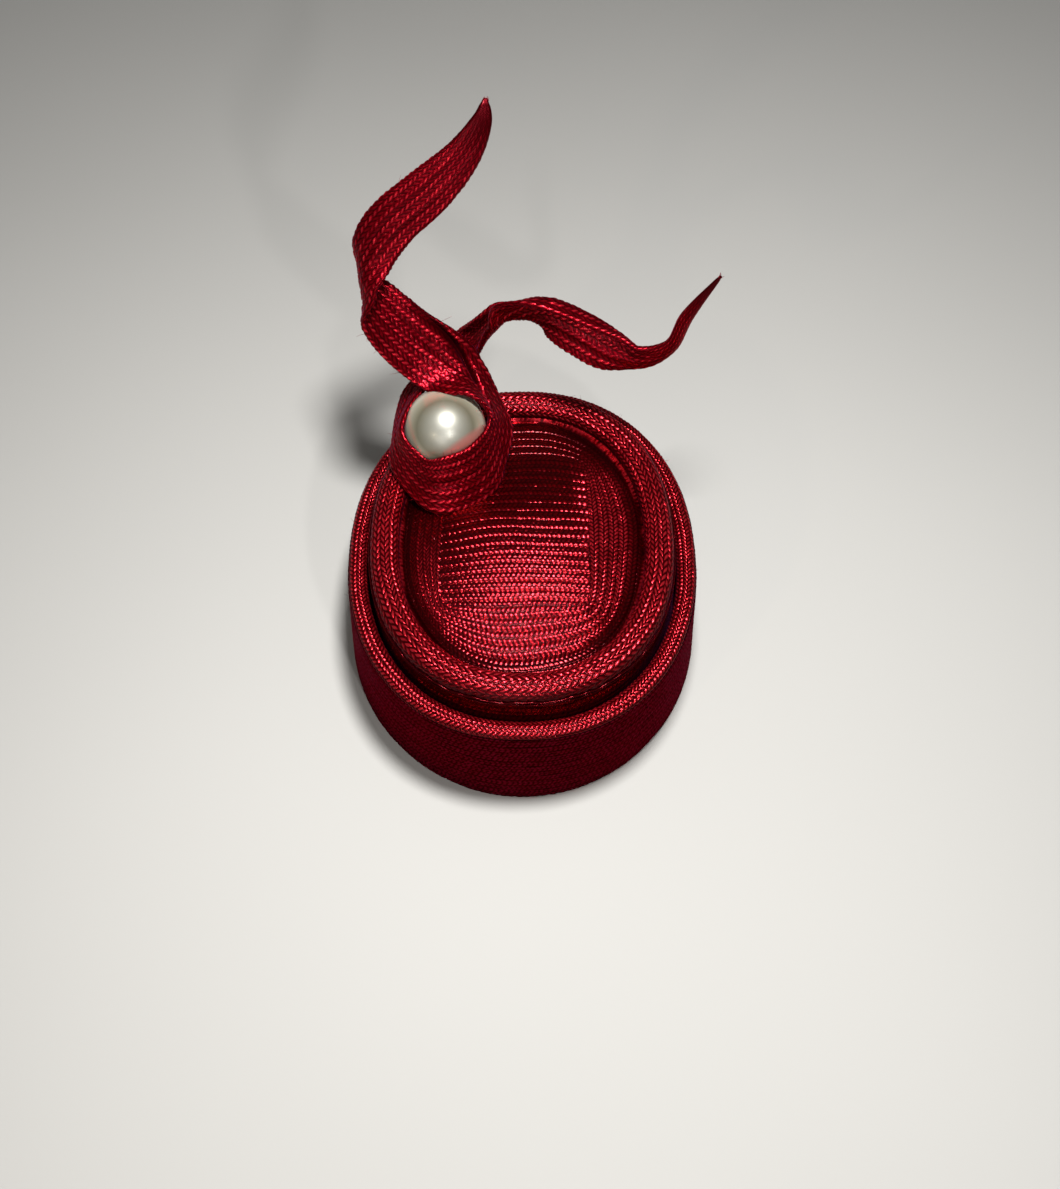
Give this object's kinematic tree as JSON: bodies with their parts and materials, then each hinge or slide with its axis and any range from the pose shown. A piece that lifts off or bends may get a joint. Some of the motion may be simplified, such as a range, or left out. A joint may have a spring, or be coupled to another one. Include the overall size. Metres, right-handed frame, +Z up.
{
  "type": "pork pie hat",
  "caption": "Small oval pork pie hat in braided straw with a rolled ridge, a sunken tip, an upturned cuff brim and a twisted ribbon looped round a large pearl.",
  "frame": {"origin": "middle of the oval head opening, on the plane of the rim that the hat stands on", "axes": "+Z up, -Y towards the hat's front, +X towards the wearer's left"},
  "size_m": [0.1592, 0.189, 0.2216],
  "materials": {
    "braid": "glossy red braid, sewn in rows",
    "ribbon": "glossy red tubular braid",
    "pearl": "pearlescent ivory"
  },
  "bodies": {
    "root": {"crown": "braid", "brim": "braid", "ribbon": "ribbon", "pearl": "pearl"}
  },
  "joints": []
}
